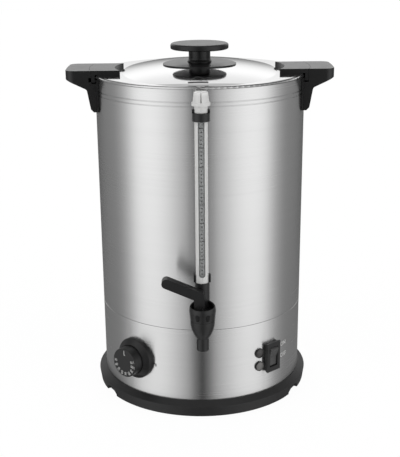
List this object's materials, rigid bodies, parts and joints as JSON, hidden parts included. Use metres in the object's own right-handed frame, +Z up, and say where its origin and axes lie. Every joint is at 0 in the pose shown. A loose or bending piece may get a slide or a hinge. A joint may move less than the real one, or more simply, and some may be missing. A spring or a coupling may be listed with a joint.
{
  "type": "hot water urn",
  "caption": "Steel hot water urn with a lift-off lid, side handles, sight gauge, sprung lever tap, thermostat dial, indicator lamps and a rocker switch.",
  "frame": {"origin": "centre of the base on the worktop, on the tank's axis", "axes": "+Z up, the tap and gauge at the front on -Y, +X to the right seen from the front"},
  "size_m": [0.3162, 0.3062, 0.4263],
  "materials": {
    "brushed_body": "horizontally brushed stainless steel",
    "polished_lid": "polished stainless steel",
    "black_plastic": "black moulded plastic, satin",
    "base_plastic": "dark grey moulded plastic, satin",
    "knob_plastic": "black moulded plastic, semi-gloss",
    "tap_plastic": "black moulded plastic, semi-gloss",
    "shield_plastic": "white plastic tube, glossy",
    "gauge_glass": "clear tube",
    "lamp_lens": "smoked lens",
    "rocker_plastic": "black plastic, glossy",
    "rubber": "black rubber",
    "silicone": "translucent silicone",
    "steel_screws": "plain steel",
    "inner_steel": "plain steel sheet",
    "heater_alloy": "cast",
    "brass_parts": "plain",
    "inner_plastic": "cream moulded plastic"
  },
  "bodies": {
    "urn": {"base_ring": "base_plastic", "base_plate": "inner_steel", "rubber_feet": "rubber", "base_screws": "steel_screws", "tie_rod": "steel_screws", "tie_nut": "steel_screws", "skirt": "brushed_body", "tank": "brushed_body", "heater_plate": "heater_alloy", "heating_element": "inner_steel", "thermal_cutout": "inner_plastic", "thermostat_body": "inner_plastic", "thermostat_capillary": "brass_parts", "dial_bezel": "knob_plastic", "lamp_bodies": "knob_plastic", "heat_lamp_lens": "lamp_lens", "power_lamp_lens": "lamp_lens", "switch_body": "knob_plastic", "cord_gland": "black_plastic", "terminal_block": "inner_plastic", "left_handle": "black_plastic", "right_handle": "black_plastic", "handle_screws": "steel_screws", "gauge_glass": "gauge_glass", "gauge_shield": "shield_plastic", "gauge_seal": "silicone", "gauge_collar": "tap_plastic", "gauge_cap": "shield_plastic", "gauge_screw": "steel_screws", "tap_body": "tap_plastic", "tap_spout": "tap_plastic", "tap_spring": "steel_screws", "tap_gaskets": "silicone", "tap_nut": "tap_plastic"},
    "lid": {"lid_pan": "polished_lid", "lid_knob_plate": "polished_lid", "lid_lug_left": "black_plastic", "lid_lug_right": "black_plastic", "lid_lug_screws": "steel_screws", "lid_knob_screw": "steel_screws", "lid_knob": "black_plastic"},
    "thermostat_knob": {"dial_knob": "knob_plastic", "dial_shaft": "brass_parts"},
    "rocker": {"switch_rocker": "rocker_plastic"},
    "lever": {"tap_lever": "tap_plastic", "tap_lever_pin": "steel_screws"},
    "valve": {"tap_stem": "tap_plastic", "tap_seat_cup": "silicone"}
  },
  "joints": [
    {"name": "lid_lift", "type": "slide", "parent": "urn", "child": "lid", "axis": [0, 0, 1], "range_m": [0, 0.12]},
    {"name": "knob_turn", "type": "hinge", "parent": "urn", "child": "thermostat_knob", "pos_m": [-0.08623, -0.10387, 0.0635], "axis": [-0.6388, -0.7694, 0], "range_deg": [0, 270]},
    {"name": "rocker_tip", "type": "hinge", "parent": "urn", "child": "rocker", "pos_m": [0.08282, -0.09296, 0.0626], "axis": [-0.7466, -0.6652, 0], "range_deg": [0, 20]},
    {"name": "lever_press", "type": "hinge", "parent": "urn", "child": "lever", "pos_m": [-0.0078, -0.157, 0.1483], "axis": [0, -1, 0], "range_deg": [0, 18], "stiffness_Nm_per_rad": 0.8, "springref_deg": -11.46},
    {"name": "stem_lift", "type": "slide", "parent": "urn", "child": "valve", "axis": [0, 0, 1], "range_m": [0, 0.0024], "deforming": ["tap_spring"]}
  ],
  "couplings": [
    {"joint": "stem_lift", "follows": "lever_press", "m_per_rad": 0.0075}
  ]
}
